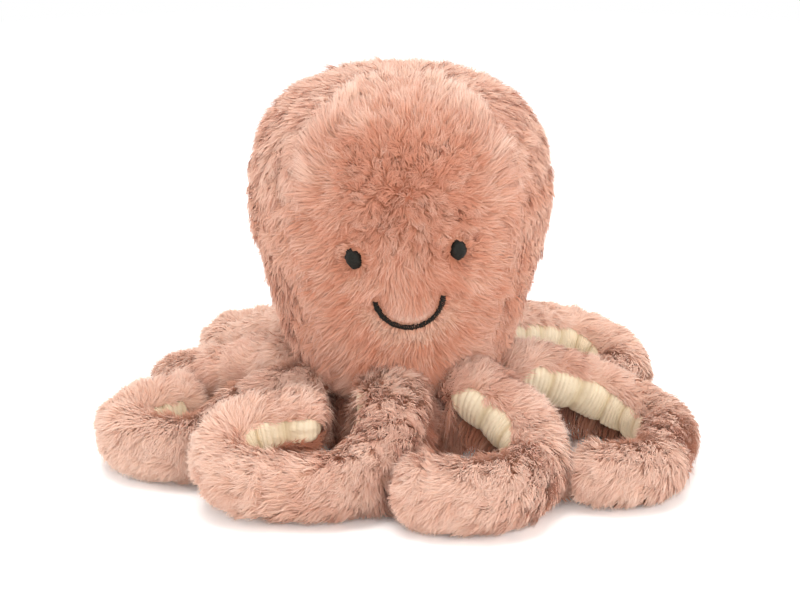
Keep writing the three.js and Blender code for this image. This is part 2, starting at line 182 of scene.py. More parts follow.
table_sheet()
white_room()
soft_box("overhead soft box", (-0.1, 0.1, 1.1), (0.9, 0.9), 7.7)
soft_box("front fill", (0.15, -1.3, 0.5), (1.1, 0.6), 9.8)
soft_box("right fill", (1.2, -0.35, 0.45), (0.8, 0.6), 5.5)
soft_box("left fill", (-1.2, -0.15, 0.5), (0.8, 0.6), 5.5)
soft_box("back fill", (0.3, 1.2, 0.6), (0.9, 0.6), 4)


# Fur fabric for the head, the arms and the base: a knitted backing with long polyester pile,
# which lies along its nap, gathers in tufts, and is coloured darker at the roots than at the tips:
# partly its dye and partly painted shade deep in the pile.
# Real pile is finer than shows here, so each strand stands for several fibres.

pile_length = 7.0
strand_half_width, foot_share = 0.121, 0.6
under_pile_share, under_pile_shorter = 0.35, 0.42
tuft_spacing = 2.6
tuft_bend, strand_bend = 0.32, 0.36
table_clearance = 0.15


def dice(cells, salt):
    """Random numbers from 0 to 1, always the same for the same whole-numbered cell."""
    a, b, c = (cells[..., i].astype(np.int64) for i in range(3))
    mixed = (a * 73856093) ^ (b * 19349663) ^ (c * 83492791) ^ (salt * 97531)
    mixed = ((mixed ^ (mixed >> 13)) * 1274126177) & 0xFFFFFFFF
    mixed = ((mixed ^ (mixed >> 15)) * 2246822519) & 0xFFFFFFFF
    return ((mixed ^ (mixed >> 16)) & 0xFFFFFF) / 0x1000000


def wander(points, size, salt):
    """A smooth random value from -1 to 1 that changes over about the given size in millimetres."""
    cell = np.floor(points / size)
    part = points / size - cell
    part = part * part * (3 - 2 * part)
    total = np.zeros(points.shape[:-1])
    for corner in np.ndindex(2, 2, 2):
        weight = np.prod(np.where(np.array(corner) == 1, part, 1 - part), axis=-1)
        total += weight * dice(cell + np.array(corner), salt)
    return 2 * total - 1


def tufts_of(points, spacing):
    """The middle of the tuft that each root belongs to, and the tuft's own cell for its dice."""
    home = np.floor(points / spacing)
    nearest = np.full(len(points), np.inf)
    middle = np.zeros_like(points)
    owner = np.zeros_like(points)
    for step in np.ndindex(3, 3, 3):
        cell = home + np.array(step) - 1
        spot = np.stack([dice(cell, salt) for salt in (11, 12, 13)], -1)
        spot = (cell + spot) * spacing
        gap = np.linalg.norm(points - spot, axis=1)
        closer = gap < nearest
        nearest[closer] = gap[closer]
        middle[closer] = spot[closer]
        owner[closer] = cell[closer]
    return middle, owner


def unit(vectors):
    return vectors / np.maximum(np.linalg.norm(vectors, axis=-1, keepdims=True), 1e-9)


def across_of(grid):
    """Unit directions along a grid's columns and rows, and its outward normal."""
    along_columns = unit(np.gradient(grid, axis=1))
    along_rows = unit(np.gradient(grid, axis=0))
    return along_columns, along_rows, unit(np.cross(along_columns, along_rows))


def sown(grid, keep, count):
    """Even places for strands on a grid: the square each stands in and its place within it."""
    a, b, c, d = grid[:-1, :-1], grid[:-1, 1:], grid[1:, 1:], grid[1:, :-1]
    halves = np.cross(b - a, c - a), np.cross(c - a, d - a)
    area = 0.5 * sum(np.linalg.norm(half, axis=-1) for half in halves)
    density = 0.25 * (keep[:-1, :-1] + keep[:-1, 1:] + keep[1:, 1:] + keep[1:, :-1])
    share = np.cumsum((area * density).ravel())
    order = (np.arange(count) + 0.5) / count * share[-1]
    square = np.searchsorted(share, order)
    rows, columns = np.unravel_index(square, area.shape)
    salt = np.stack([np.arange(count), rows, columns], -1)
    return rows, columns, dice(salt, 21), dice(salt, 22)


def sampled(values, places):
    """A grid's values at places within its squares."""
    rows, columns, u, v = places
    if values.ndim == 3:
        u, v = u[:, None], v[:, None]
    low = values[rows, columns] * (1 - u) + values[rows, columns + 1] * u
    high = values[rows + 1, columns] * (1 - u) + values[rows + 1, columns + 1] * u
    return low * (1 - v) + high * v


def clipped(root, knee, tip, bare):
    """How much of each strand is left where the pile is clipped clear of stitches.

    bare lists points of stitches and a radius. A strand is cut until it clears them for
    someone who faces the toy from a little above, as its face is meant to be seen.
    """
    seen = np.array([(1, 0), (0, math.sin(camera_rise)), (0, math.cos(camera_rise))])
    size = np.ones(len(root))
    for spots, radius in bare:
        for cut in (0.7, 0.45, 0.2):
            covers = np.zeros(len(root), bool)
            for share in (0.5, 0.75, 1.0):
                bend = knee + (2 * share - 1) * (tip - knee)
                place = root + size[:, None] * (bend - root)
                gap = (place @ seen)[:, None] - (spots @ seen)[None]
                covers |= np.linalg.norm(gap, axis=-1).min(1) < radius
            size = np.where(covers, cut, size)
    return size


def strands(grid, nap, lean, length, tone, keep, loose, count, bare=(), seed=0):
    """Pile strands as tapered ribbons of three triangles, bent once on their way to the tip.

    Returns points and triangles, and for each point its place along the strand, its tone
    and the way it faces, which is between the ribbon's own way and the cloth's.
    """
    places = sown(grid, keep, count)
    _, _, outward = across_of(grid)
    root, normal = sampled(grid, places), unit(sampled(outward, places))
    lying = sampled(nap, places)
    lying = unit(lying - normal * np.sum(lying * normal, axis=1, keepdims=True))
    aside = np.cross(normal, lying)
    middle, owner = tufts_of(root, tuft_spacing)
    single = np.stack([np.arange(count), np.full(count, seed), np.zeros(count)], -1)
    chance = lambda salt: 2 * dice(single, salt) - 1
    tuft_chance = lambda salt: 2 * dice(owner, salt) - 1
    lean, length, tone, loose = (sampled(values, places) for values in (lean, length, tone, loose))

    def bent(turn, slope, run, bow):
        """A strand's knee and tip from its root, for its turn from the nap and its slope from upright."""
        heading = lying * np.cos(turn)[:, None] + aside * np.sin(turn)[:, None]
        low, high = np.clip(slope - bow, 0.05, 1.5), np.clip(slope + bow, 0.1, 1.62)
        first = normal * np.cos(low)[:, None] + heading * np.sin(low)[:, None]
        second = normal * np.cos(high)[:, None] + heading * np.sin(high)[:, None]
        half = 0.5 * run[:, None]
        return half * first, half * first + half * second

    # A tuft shares one turn, slope and length, which drift over the cloth
    swirl = 0.5 * wander(root, 11.0, 31) + 1.8 * loose * wander(root, 2.4, 45)
    tuft_turn = swirl + (0.3 + 0.8 * loose) * tuft_chance(32)
    tuft_lean = lean + (0.14 + 0.3 * loose) * tuft_chance(33) + 0.12 * wander(root, 8.0, 34)
    tuft_length = length * (1 + 0.15 * tuft_chance(35))

    # Each strand strays from its tuft, and those of the short under-pile stray most
    under = np.where(dice(single, 48) < under_pile_share, 1, 0)
    own_turn = tuft_turn + (0.3 + 1.2 * loose + 1.1 * under) * chance(36)
    own_lean = tuft_lean + 0.26 * chance(37) - 0.15 * under
    own_length = tuft_length * (1 + 0.25 * chance(38)) * (1 - under_pile_shorter * under)
    knee, tip = bent(own_turn, own_lean, own_length, strand_bend)
    tuft_knee, tuft_tip = bent(tuft_turn, tuft_lean, tuft_length, tuft_bend)

    # The tuft draws its strands' tips together
    inward = middle - root
    inward -= normal * np.sum(inward * normal, axis=1, keepdims=True)
    pull = ((0.36 + 0.2 * loose) * (1 - 0.5 * dice(single, 39)))[:, None]
    knee = root + knee * (1 - 0.5 * pull) + 0.5 * pull * (0.5 * inward + tuft_knee)
    tip = root + tip * (1 - pull) + pull * (inward + tuft_tip)
    size = clipped(root, knee, tip, bare)[:, None]
    knee, tip = root + size * (knee - root), root + size * (tip - root)

    # The ribbon itself, rolled a little at random and drawn to a point
    roll = 0.9 * chance(40)[:, None]
    run = unit(tip - root)
    flat = unit(np.cross(run, normal))
    side = flat * np.cos(roll) + np.cross(run, flat) * np.sin(roll)
    wide = side * (strand_half_width * (1 + 0.3 * chance(41)))[:, None]
    foot = foot_share * wide
    points = np.stack([root - foot, root + foot, knee - wide, knee + wide, tip], 1)
    facing = np.cross(side, run)
    facing *= np.where(np.sum(facing * normal, axis=1, keepdims=True) < 0, -1, 1)
    facing = np.repeat(unit(0.35 * facing + 0.65 * normal), 5, axis=0)
    first = 5 * np.arange(count)[:, None, None]
    triangles = first + np.array([[0, 1, 3], [0, 3, 2], [2, 3, 4]])
    along = np.tile([0.0, 0.0, 0.5, 0.5, 1.0], (count, 1))
    shade = tone + 0.17 * tuft_chance(42) + 0.14 * wander(root, 9.0, 43) + 0.18 * chance(44)
    shade = np.repeat(np.clip(shade, 0.02, 0.98)[:, None], 5, axis=1)
    return points.reshape(-1, 3), triangles.reshape(-1, 3), along.ravel(), shade.ravel(), facing


def grid_triangles(rows, columns):
    """Two triangles for each square of a grid of points."""
    corner = (np.arange(rows - 1)[:, None] * columns + np.arange(columns - 1)).ravel()
    one = np.stack([corner, corner + 1, corner + columns + 1], -1)
    other = np.stack([corner, corner + columns + 1, corner + columns], -1)
    return np.concatenate([one, other])


def made(name, points, triangles, material, body, maps=None, facing=None):
    """A piece from points in millimetres, riding on its body. maps are named values at its points."""
    mesh = bpy.data.meshes.new(name)
    mesh.vertices.add(len(points))
    mesh.vertices.foreach_set("co", (np.asarray(points) * mm).astype(np.float32).ravel())
    corners = np.asarray(triangles, np.int32).ravel()
    mesh.loops.add(len(corners))
    mesh.loops.foreach_set("vertex_index", corners)
    mesh.polygons.add(len(corners) // 3)
    mesh.polygons.foreach_set("loop_start", np.arange(0, len(corners), 3, dtype=np.int32))
    mesh.polygons.foreach_set("use_smooth", np.ones(len(corners) // 3, bool))
    mesh.update(calc_edges=True)
    for key, values in (maps or {}).items():
        attribute = mesh.attributes.new(key, "FLOAT", "POINT")
        attribute.data.foreach_set("value", np.asarray(values, np.float32))
    if maps and "shade" in maps:
        layer = mesh.uv_layers.new(name="OFBake")
        pair = np.stack([maps["shade"][corners], maps["along"][corners]], -1)
        layer.data.foreach_set("uv", pair.astype(np.float32).ravel())
    if facing is not None:
        mesh.normals_split_custom_set_from_vertices(facing.astype(np.float32))
    mesh.materials.append(material)
    piece = bpy.data.objects.new(name, mesh)
    bpy.context.scene.collection.objects.link(piece)
    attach(piece, body)
    return piece


def rose_pile_fur():
    """Polyester faux fur, heat-set and brushed: matt, pale at the worn tips, and darker toward the roots
    between the tufts, partly its dye and partly painted shade.
    """
    material, nodes = new_material("rose faux-fur pile")
    along = add(nodes, "ShaderNodeAttribute", {"attribute_name": "along"}).outputs["Fac"]
    shade = add(nodes, "ShaderNodeAttribute", {"attribute_name": "shade"}).outputs["Fac"]

    def along_strand(root, middle, tip):
        node = add(nodes, "ShaderNodeValToRGB", Fac=along)
        stops = node.color_ramp.elements
        stops[0].color, stops[1].color = linear(root), linear(tip)
        stops.new(0.45).color = linear(middle)
        return node.outputs["Color"]

    # Each ramp runs from root to tip. The darker roots are partly dye and partly painted shade deep in the
    # pile.
    deep = along_strand("#c87d5d", "#d48a6b", "#e3a287")
    pale = along_strand("#f3c2a5", "#f5c8ae", "#fde1d1")
    colour = add(nodes, "ShaderNodeMix", {"data_type": "RGBA"}, Factor=shade)
    nodes.links.new(deep, colour.inputs[6])
    nodes.links.new(pale, colour.inputs[7])
    settings = {"Roughness": 0.8, "Specular IOR Level": 0.25, "Sheen Weight": 0.25, "Sheen Roughness": 0.5}
    fibre = add(nodes, "ShaderNodeBsdfPrincipled", settings)
    fibre.inputs["Sheen Tint"].default_value = linear("#fbe9df")
    nodes.links.new(colour.outputs[2], fibre.inputs["Base Color"])
    add(nodes, "ShaderNodeOutputMaterial", Surface=fibre.outputs[0])
    return material


rose_fur = rose_pile_fur()


def furred(name, grid, nap, lean, length, tone, keep, count, body, node, seed, bare=(), loose=None):
    """A panel of fur fabric: its backing on a grid of points, and its pile.

    nap, lean, length, tone, keep and loose are given at the grid's points: which way the
    pile lies, how far from upright, how long, how pale, how dense and how untidy it is.
    """
    rows, columns = grid.shape[:2]
    loose = np.zeros((rows, columns)) if loose is None else loose
    strand_points, strand_faces, along, shade, strand_facing = strands(
        grid, nap, lean, length, tone, keep, loose, count, bare, seed
    )
    cloth = grid_triangles(rows, columns)
    kept = (keep > 0.02).ravel()[cloth].any(axis=1)
    points = np.concatenate([grid.reshape(-1, 3), strand_points])
    pressed = table_clearance + 0.05 * np.minimum(points[:, 2] + 4, 4)
    points[:, 2] = np.maximum(points[:, 2], pressed)
    triangles = np.concatenate([cloth[kept], strand_faces + rows * columns])
    maps = {
        "along": np.concatenate([np.full(rows * columns, 0.3), along]),
        "shade": np.concatenate([np.clip(tone.ravel(), 0.02, 0.98), shade]),
    }
    facing = np.concatenate([across_of(grid)[2].reshape(-1, 3), strand_facing])
    piece = made(name, points, triangles, rose_fur, body, maps, facing)
    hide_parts(node)
    return piece


# The head: four gores of fur fabric sewn into a pear-shaped sack, which is turned, stuffed
# and drawn in at the crown. The front gore's pile stands up beside its seams in pale ridges.

head_height, head_width, backing_depth = 111.0, 86.0, 3.2
seam_draw_in, face_turn = 1.8, math.radians(2.5)
gore_strands = 62000

# Points of the head's profile as shares of its half width and its height
profile_shares = np.array([
    (0.49, 0.176), (0.65, 0.218), (0.735, 0.28), (0.795, 0.36), (0.885, 0.477), (0.968, 0.595), (1, 0.7),
    (0.965, 0.811), (0.862, 0.892), (0.71, 0.948), (0.5, 0.985), (0.27, 1), (0.03, 0.987),
])
face_roll, face_height = math.radians(4.5), 62.0
eye_spacing, eye_rise, eye_width, eye_height = 29.7, 6.9, 4.7, 5.9
mouth_width, mouth_depth, mouth_drop, mouth_sweep = 18.4, 9.7, 4.3, math.radians(82)
mouth_thread, face_shift = 1.7, 0.45
muzzle_rise, muzzle_width, muzzle_height, muzzle_drop = 1.8, 15.0, 11.0, 11.0


def head_profile(along):
    """How far out and how far up the head's profile is, by a smooth curve through its shares."""
    points = profile_shares * (head_width / 2, head_height)
    last = len(points) - 1
    place = np.clip(np.asarray(along, float), 0, 1) * last
    low = np.minimum(place.astype(int), last - 1)
    part = (place - low)[..., None]
    before, after = points[np.maximum(low - 1, 0)], points[np.minimum(low + 2, last)]
    start, end = points[low], points[low + 1]
    leave, arrive = (end - before) / 2, (after - start) / 2
    return (
        (2 * start - 2 * end + leave + arrive) * part**3
        + (3 * end - 3 * start - 2 * leave - arrive) * part**2
        + leave * part
        + start
    )


def head_point(azimuth, along, inset=0.0):
    """A point of the head's surface, or that far inside it. Azimuth 0 is the front and grows toward +X."""
    spot = head_profile(along)
    run = unit(head_profile(np.add(along, 1e-4)) - head_profile(np.subtract(along, 1e-4)))
    out, up = spot[..., 0], spot[..., 1]
    seam = np.sin(2 * (azimuth - face_turn)) ** 4
    aside = out * (azimuth - face_turn) / muzzle_width
    above = (up - face_height + muzzle_drop) / muzzle_height
    muzzle = np.where(np.abs(azimuth) < math.pi / 2, muzzle_rise * np.exp(-(aside**2) - above**2), 0)
    radius = out - seam_draw_in * out / (head_width / 2) * seam + muzzle - inset * run[..., 1]
    height = up + inset * run[..., 0]
    return np.stack([radius * np.sin(azimuth), -radius * np.cos(azimuth), height], -1)


def along_at(height):
    """How far along the profile that height is."""
    table = np.linspace(0, 0.9, 2000)
    return np.interp(height, head_profile(table)[:, 1], table)


def face_place(across, rise, inset=0.0):
    """A point on the face, by its distance across and up from the face's middle."""
    height = face_height + rise * np.cos(face_roll) + across * np.sin(face_roll)
    aside = across * np.cos(face_roll) - rise * np.sin(face_roll) + face_shift
    along = along_at(height)
    azimuth = face_turn + aside / head_profile(along)[..., 0]
    return head_point(azimuth, along, inset)


def mouth_line(share):
    """The smile's middle line on the face, from its left end to its right."""
    angle = (2 * np.asarray(share) - 1) * mouth_sweep
    across = mouth_width / 2 * np.sin(angle) / math.sin(mouth_sweep)
    return across, -mouth_drop - mouth_depth * np.cos(angle)


def smoothed(value, low, high):
    """0 below low, 1 above high, and a smooth step between them."""
    part = np.clip((value - low) / (high - low), 0, 1)
    return part * part * (3 - 2 * part)


eye_spots = [face_place(np.array(side * eye_spacing / 2), np.array(eye_rise)) for side in (-1, 1)]
mouth_spots = face_place(*mouth_line(np.linspace(0, 1, 40)))
eye_patches = np.array([spot + (0, 0, up) for spot in eye_spots for up in (-0.7, 0, 0.7)])
mouth_middle = face_place(np.array(0.0), np.array(-mouth_drop - 1.5))


def arm_roots():
    """The point that each arm turns about, with the level directions ahead of it and beside it."""
    roots = []
    for joint in frame["joints"]:
        heading = math.atan2(joint["axis"][0], -joint["axis"][1])
        ahead = np.array([math.cos(heading), math.sin(heading), 0])
        aside = np.array([math.sin(heading), -math.cos(heading), 0])
        roots.append((np.array(joint["pos_m"]) / mm, ahead, aside))
    return roots


root_half_width, root_half_height = 9.4, 9.2


def outside_roots(points, margin):
    """1 where the body's fur may stand, 0 inside the sockets of the arms' roots."""
    clear = np.ones(points.shape[:-1])
    for place, ahead, aside in arm_roots():
        gap = points - place
        run = gap @ ahead
        run = np.where(run > 0, 0, run)
        reach = (run / root_half_height) ** 2 + (gap @ aside / root_half_width) ** 2
        reach = reach + (gap[..., 2] / root_half_height) ** 2
        in_front = gap @ ahead > -root_half_height
        clear = np.where(in_front & (reach < margin**2), 0, clear)
    return clear


def near(distance, reach, power=2):
    """1 at no distance, falling smoothly to nothing past the reach."""
    return np.exp(-((distance / reach) ** power))


def face_gore_pile(surface, side, mouth):
    """The front gore's pile: upright and loose on the forehead, combed down and out over the cheeks.

    Its edges stand up beside the seams. Under the smile it is a pale fringe with painted shadow
    along its hem, and over the muzzle it parts in a short crease darkened by painted shade.
    Its tone has painted light on the crown, high at its edges and toward its sides, and painted
    shade where it stands up on the forehead.
    """
    height, across = surface[..., 2], surface[..., 0] - mouth_middle[0]
    crown, high = smoothed(height, 96, 108), smoothed(height, 76, 92)
    forehead = smoothed(height, 64, 76)
    chin = np.exp(-((across / 15) ** 2) - ((height - 46) / 11) ** 2)
    crease = np.exp(-(((height - 60.5) / 1.2) ** 2) - (across / 6.5) ** 4)
    upright = (1 - smoothed(np.abs(side), 0.45, 0.85)) * smoothed(height, 62, 74) * (1 - crown)
    ridge = near(np.abs(side) - 0.83, 0.12) * high * (0.75 + 0.6 * wander(surface, 4.5, 72))
    beyond = smoothed(np.abs(side), 0.84, 0.96) * high
    below = smoothed(face_height - mouth_drop - 4 - height, 0, 3)
    fringe, hem_shadow = near(mouth - 2.6, 1.8) * below, near(mouth - 6.6, 1.3) * below

    combed_up = forehead * np.clip((height - 86) / 14, -0.5, 1)
    combed_down = (1 - forehead) * (0.9 - 0.4 * np.abs(side))
    flow_east = 1.1 * side + chin * across / 9
    flow_north = combed_up - combed_down - 0.6 * chin + 0.9 * ridge
    lean = 1.12 - 0.62 * upright - 0.1 * crown - 0.5 * ridge
    length = pile_length * (1 - 0.42 * upright - 0.1 * crown - 0.4 * crease - 0.2 * hem_shadow) + 1.6 * ridge
    loose = 0.9 * upright + 0.5 * crease
    tone = 0.17 + 0.1 * wander(surface, 4.5, 71) + 0.16 * wander(surface, 3.0, 73)
    # Painted shade where the pile stands up on the forehead, and painted light on the crown and on its edges
    # high up. The seam ridges are paler.
    tone = tone - 0.06 * upright + 0.4 * ridge + 0.3 * beyond + 0.3 * crown
    # Painted shadow along the fringe's hem, and painted shade in the crease over the muzzle.
    tone = tone + 0.6 * fringe - 0.16 * hem_shadow - 0.2 * crease
    # Painted light: paler toward its sides, where the light catches the head's edges.
    tone = tone + 0.2 * smoothed(60 - height, 0, 30) * np.abs(side) + 0.12 * smoothed(np.abs(side), 0.4, 0.8)
    return flow_east, flow_north, lean, length, loose, tone


def side_gore_pile(quarter, surface, side):
    """The other gores' pile: combed down and lying flat, and fuller at the seams. Painted light makes it
    paler high up, and painted shade makes the right gore darker.
    """
    height = surface[..., 2]
    crown, high = smoothed(height, 96, 108), smoothed(height, 76, 92)
    edge = smoothed(np.abs(side), 0.72, 1.0) * (0.25 + 0.75 * high)
    flow_east = {1: 0.35, 2: 0.0, 3: -0.35}[quarter] + 0 * side
    flow_north = -1 + 0 * side
    lean = 1.1 - 0.1 * crown - 0.3 * edge * (1 - 0.5 * crown)
    length = pile_length * (0.84 - 0.06 * smoothed(height, 78, 92)) + 0.8 * edge
    loose = 0.42 - 0.25 * crown
    # Painted light and shade: paler high up, and the right gore darker, for how the light falls.
    tone = (0.36 if quarter == 1 else 0.44) + 0.14 * edge + 0.22 * high + 0.12 * wander(surface, 4.0, 74)
    return flow_east, flow_north, lean, length, loose, tone


def gore(quarter, name, node):
    """One gore's fur. Quarter 0 is the face, and the others follow from the toy's +X side round."""
    rows, columns = 100, 60
    azimuth = face_turn + (quarter + np.linspace(-0.5, 0.5, columns)) * math.pi / 2
    azimuth, along = np.meshgrid(azimuth, np.linspace(0.0, 1.0, rows))
    side = (azimuth - face_turn - quarter * math.pi / 2) / (math.pi / 4)
    surface = head_point(azimuth, along)
    height = surface[..., 2]
    eyes = np.min([np.linalg.norm(surface - spot, axis=-1) for spot in eye_spots], axis=0)
    mouth = np.min([np.linalg.norm(surface - spot, axis=-1) for spot in mouth_spots], axis=0)
    if quarter == 0:
        flow_east, flow_north, lean, length, loose, tone = face_gore_pile(surface, side, mouth)
    else:
        flow_east, flow_north, lean, length, loose, tone = side_gore_pile(quarter, surface, side)

    # The cloth comes up under the stitches, which are pulled tight on it
    raised = np.maximum(2.1 * near(eyes, 4.2, 4), 2.4 * near(mouth, 2.3))
    backing = head_point(azimuth, along, backing_depth - raised)
    east, north, _ = across_of(backing)

    # The pile leans over the seams, and is shorter and turns level where the gores meet on top,
    # where painted light from above makes it paler.
    seam = smoothed(np.abs(side), 0.72, 1.0) * (0.25 + 0.75 * smoothed(height, 76, 92))
    top = smoothed(height, 105, 110)
    flow_east, flow_north = flow_east + 0.5 * seam * side, flow_north * (1 - 0.6 * top)
    # Painted light: paler on top.
    length, tone = length * (1 - 0.12 * top), tone + 0.1 * top
    nap = east * flow_east[..., None] + north * flow_north[..., None]

    # It was clipped short round the stitches, lies away from the eyes and is left out under both
    for spot in eye_spots:
        away = surface - spot
        close = near(np.linalg.norm(away, axis=-1), 5.5)[..., None]
        nap = unit(nap) * (1 - close) + unit(away) * close
    length = length * (1 - 0.62 * near(eyes, 5.2)) * (1 - 0.6 * near(mouth, 2.4))
    lean = lean + 0.35 * near(eyes, 4.5) + 0.25 * near(mouth, 3)
    keep = outside_roots(backing, 0.96)
    keep = keep * (0.03 + 0.97 * smoothed(eyes, 2.2, 3.0) * smoothed(mouth, 0.5, 1.1))
    bare = ((eye_patches, 2.8), (mouth_spots, 1.15)) if quarter == 0 else ()
    nap, count = unit(nap), gore_strands
    furred(name, backing, nap, lean, length, tone, keep, count, "head", node, quarter, bare, loose)


gore(0, "face_gore_fur", "head_gore_front")
gore(1, "right_gore_fur", "head_gore_right")
gore(2, "back_gore_fur", "head_gore_back")
gore(3, "left_gore_fur", "head_gore_left")


# The face: two oval pads and a smile, embroidered through the front gore in satin stitch with
# thick rayon thread. The pile lies back round them and the stitches sink a little into it.

thread_radius, smile_thread_radius = 0.25, 0.24


def tubes(lines, radius, sides=6):
    """Round threads along rows of points, closed at both ends."""
    count, length = lines.shape[:2]
    run = unit(np.gradient(lines, axis=1))
    flat = unit(np.cross(run, np.array([0.31, 0.11, 0.94])))
    rise = np.cross(run, flat)
    angle = np.arange(sides) / sides * 2 * math.pi
    ring = flat[:, :, None] * np.cos(angle)[:, None] + rise[:, :, None] * np.sin(angle)[:, None]
    points = lines[:, :, None] + ring * radius
    corner = np.arange(length - 1)[:, None] * sides + np.arange(sides)
    beside = np.arange(length - 1)[:, None] * sides + (np.arange(sides) + 1) % sides
    one = np.stack([corner, beside, beside + sides], -1).reshape(-1, 3)
    other = np.stack([corner, beside + sides, corner + sides], -1).reshape(-1, 3)
    caps = [[0, i + 1, i] for i in range(1, sides - 1)]
    caps += [[(length - 1) * sides + i for i in (0, j, j + 1)] for j in range(1, sides - 1)]
    faces = np.concatenate([one, other, np.array(caps)])
    first = np.arange(count)[:, None, None] * length * sides
    return points.reshape(-1, 3), (first + faces).reshape(-1, 3)


def rayon_thread():
    """Twisted rayon embroidery thread, dyed black: dark, with a faint silky gleam along each stitch.

    Its filaments are too fine to show, so they are drawn 0.4 mm wide.
    """
    material, nodes = new_material("black rayon embroidery thread")
    place = add(nodes, "ShaderNodeTexCoord").outputs["Object"]
    fibres = add(nodes, "ShaderNodeTexNoise", {"Scale": 2600.0, "Detail": 2.0}, Vector=place)
    colour = add(nodes, "ShaderNodeMix", {"data_type": "RGBA"}, Factor=fibres.outputs["Fac"])
    colour.inputs[6].default_value = linear("#080705")
    colour.inputs[7].default_value = linear("#24211a")
    settings = {"Roughness": 0.5, "Specular IOR Level": 0.2}
    thread = add(nodes, "ShaderNodeBsdfPrincipled", settings)
    nodes.links.new(colour.outputs[2], thread.inputs["Base Color"])
    twist = add(nodes, "ShaderNodeBump", {"Strength": 0.4, "Distance": 0.0002}, Height=fibres.outputs["Fac"])
    nodes.links.new(twist.outputs[0], thread.inputs["Normal"])
    add(nodes, "ShaderNodeOutputMaterial", Surface=thread.outputs[0])
    return material


black_thread = rayon_thread()


def stitched(name, lines, radius, node):
    """A patch of stitches from the middle line of each thread."""
    piece = made(name, *tubes(lines, radius), black_thread, "head")
    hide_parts(node)


def stitched_eye(name, side, tilt, node):
    """Rows of satin stitch over a padded oval, a little uneven at both ends."""
    count, steps = 21, 9
    spot = face_place(np.array(side * eye_spacing / 2), np.array(eye_rise), 0.9)
    outward = unit(eye_spots[(side + 1) // 2] - spot)
    up = unit(np.array([math.sin(tilt), 0, math.cos(tilt)]))
    across = unit(np.cross(outward, up))
    up = np.cross(across, outward)
    row = np.linspace(-1, 1, count + 2)[1:-1]
    uneven = dice(np.stack([np.arange(count), np.full(count, 7), np.full(count, side + 3)], -1), 5)
    half = eye_width / 2 * (1 - np.abs(row) ** 2.2) ** 0.5 * (0.9 + 0.1 * uneven)
    share = np.linspace(-1, 1, steps)
    wide = half[:, None] * share
    high = row[:, None] * eye_height / 2 * 0.94 + 0.35 * share
    dome = 1.45 * np.sqrt(np.maximum(0, 1 - 0.75 * row[:, None] ** 2 - 0.92 * share**2)) + 0.1
    lines = spot + across * wide[..., None] + up * high[..., None] + outward * dome[..., None]
    stitched(name, lines, thread_radius, node)


def stitched_smile():
    """Short satin stitches side by side across the smile's line, each slanted the same way."""
    count, steps, slant = 52, 7, 0.012
    share = np.linspace(0, 1, count)
    uneven = dice(np.stack([np.arange(count), np.full(count, 3), np.full(count, 9)], -1), 6)
    lines = []
    for step in np.linspace(-1, 1, steps):
        across, rise = mouth_line(np.clip(share + slant * step, 0, 1))
        before, after = (mouth_line(np.clip(share + aside, 0, 1)) for aside in (-0.01, 0.01))
        run = unit(np.stack([after[0] - before[0], after[1] - before[1]], -1))
        half = mouth_thread / 2 * (0.5 + 0.5 * uneven) * step
        crest = 0.75 * math.sqrt(1 - 0.9 * step * step)
        lines.append(face_place(across - run[:, 1] * half, rise + run[:, 0] * half, 0.35 - crest))
    stitched("smile_stitches", np.stack(lines, 1), smile_thread_radius, "mouth_stitching")


stitched_eye("left_eye_stitches", -1, 0.04, "eye_left")
stitched_eye("right_eye_stitches", 1, 0.08, "eye_right")
stitched_smile()


# The eight arms: each a tube of fur fabric that leaves its root in the head, falls to the table
# and curls. Its inner side is left open, and the cream strip sewn in there draws it into the curl.

arm_root_radius, arm_backing_depth = 31.0, 2.6
strip_above, strip_below, slit_half_angle = math.radians(32), math.radians(74), math.radians(6)
root_slit, strip_end, tip_round_share, tip_lift_from = 3.0, 1.2, 0.5, 0.45
arm_strands = 50000

# Each arm by its place: azimuth and aim in degrees, root height, fall, tip lift, root half width,
# half width and half height in mm, and then its route as a run, a bend's radius and its turn in
# degrees, over and over
arm_plans = {
    "front": (-4, 4, 26, 34, 11, 10.8, 8.8, 9.8, (6, 24, 88), (12, 10.6, 180), (12.5, 0, 0)),
    "front_right": (35, 20, 26, 38, 0, 9.4, 9.6, 10.6, (16, 14, 76), (9, 16, 95), (6, 0, 0)),
    "right": (85, 16, 23, 50, 0, 9.2, 9, 9, (22, 19, 112), (18, 12.5, 108)),
    "back_right": (129, 8, 26, 72, 0, 9.2, 9.2, 9.6, (29.5, 12, 160), (4.5, 11, 26)),
    "back": (173, 6, 23, 60, 0, 9.2, 9.2, 9.2, (36, 12, 160), (4, 11, 40), (6, 0, 0)),
    "back_left": (-142, 8, 26, 52, 0, 9.2, 9, 9, (41, 12, 160), (8, 11, 40)),
    "left": (-99, -12, 22, 50, 0, 9.2, 8.8, 8.8, (28, 11, 132), (3, 0, 0)),
    "front_left": (-60.7, -17, 21, 36, 2, 9, 8.8, 9.5, (14.5, 20, -33), (3, 13.8, 200), (7, 0, 0)),
}

# Where the strip first shows past the fur, the fur's tone at the root, and its tone from there on.
# The pile in front is darker, as it is pressed and shaded more.
arm_looks = {
    "front": (45, 0.52, 0.68),
    "front_right": (8, 0.5, 0.6),
    "right": (8, 0.6, 0.66),
    "back_right": (8, 0.8, 0.86),
    "back": (8, 0.75, 0.8),
    "back_left": (8, 0.8, 0.9),
    "left": (8, 0.7, 0.8),
    "front_left": (8, 0.66, 0.7),
}


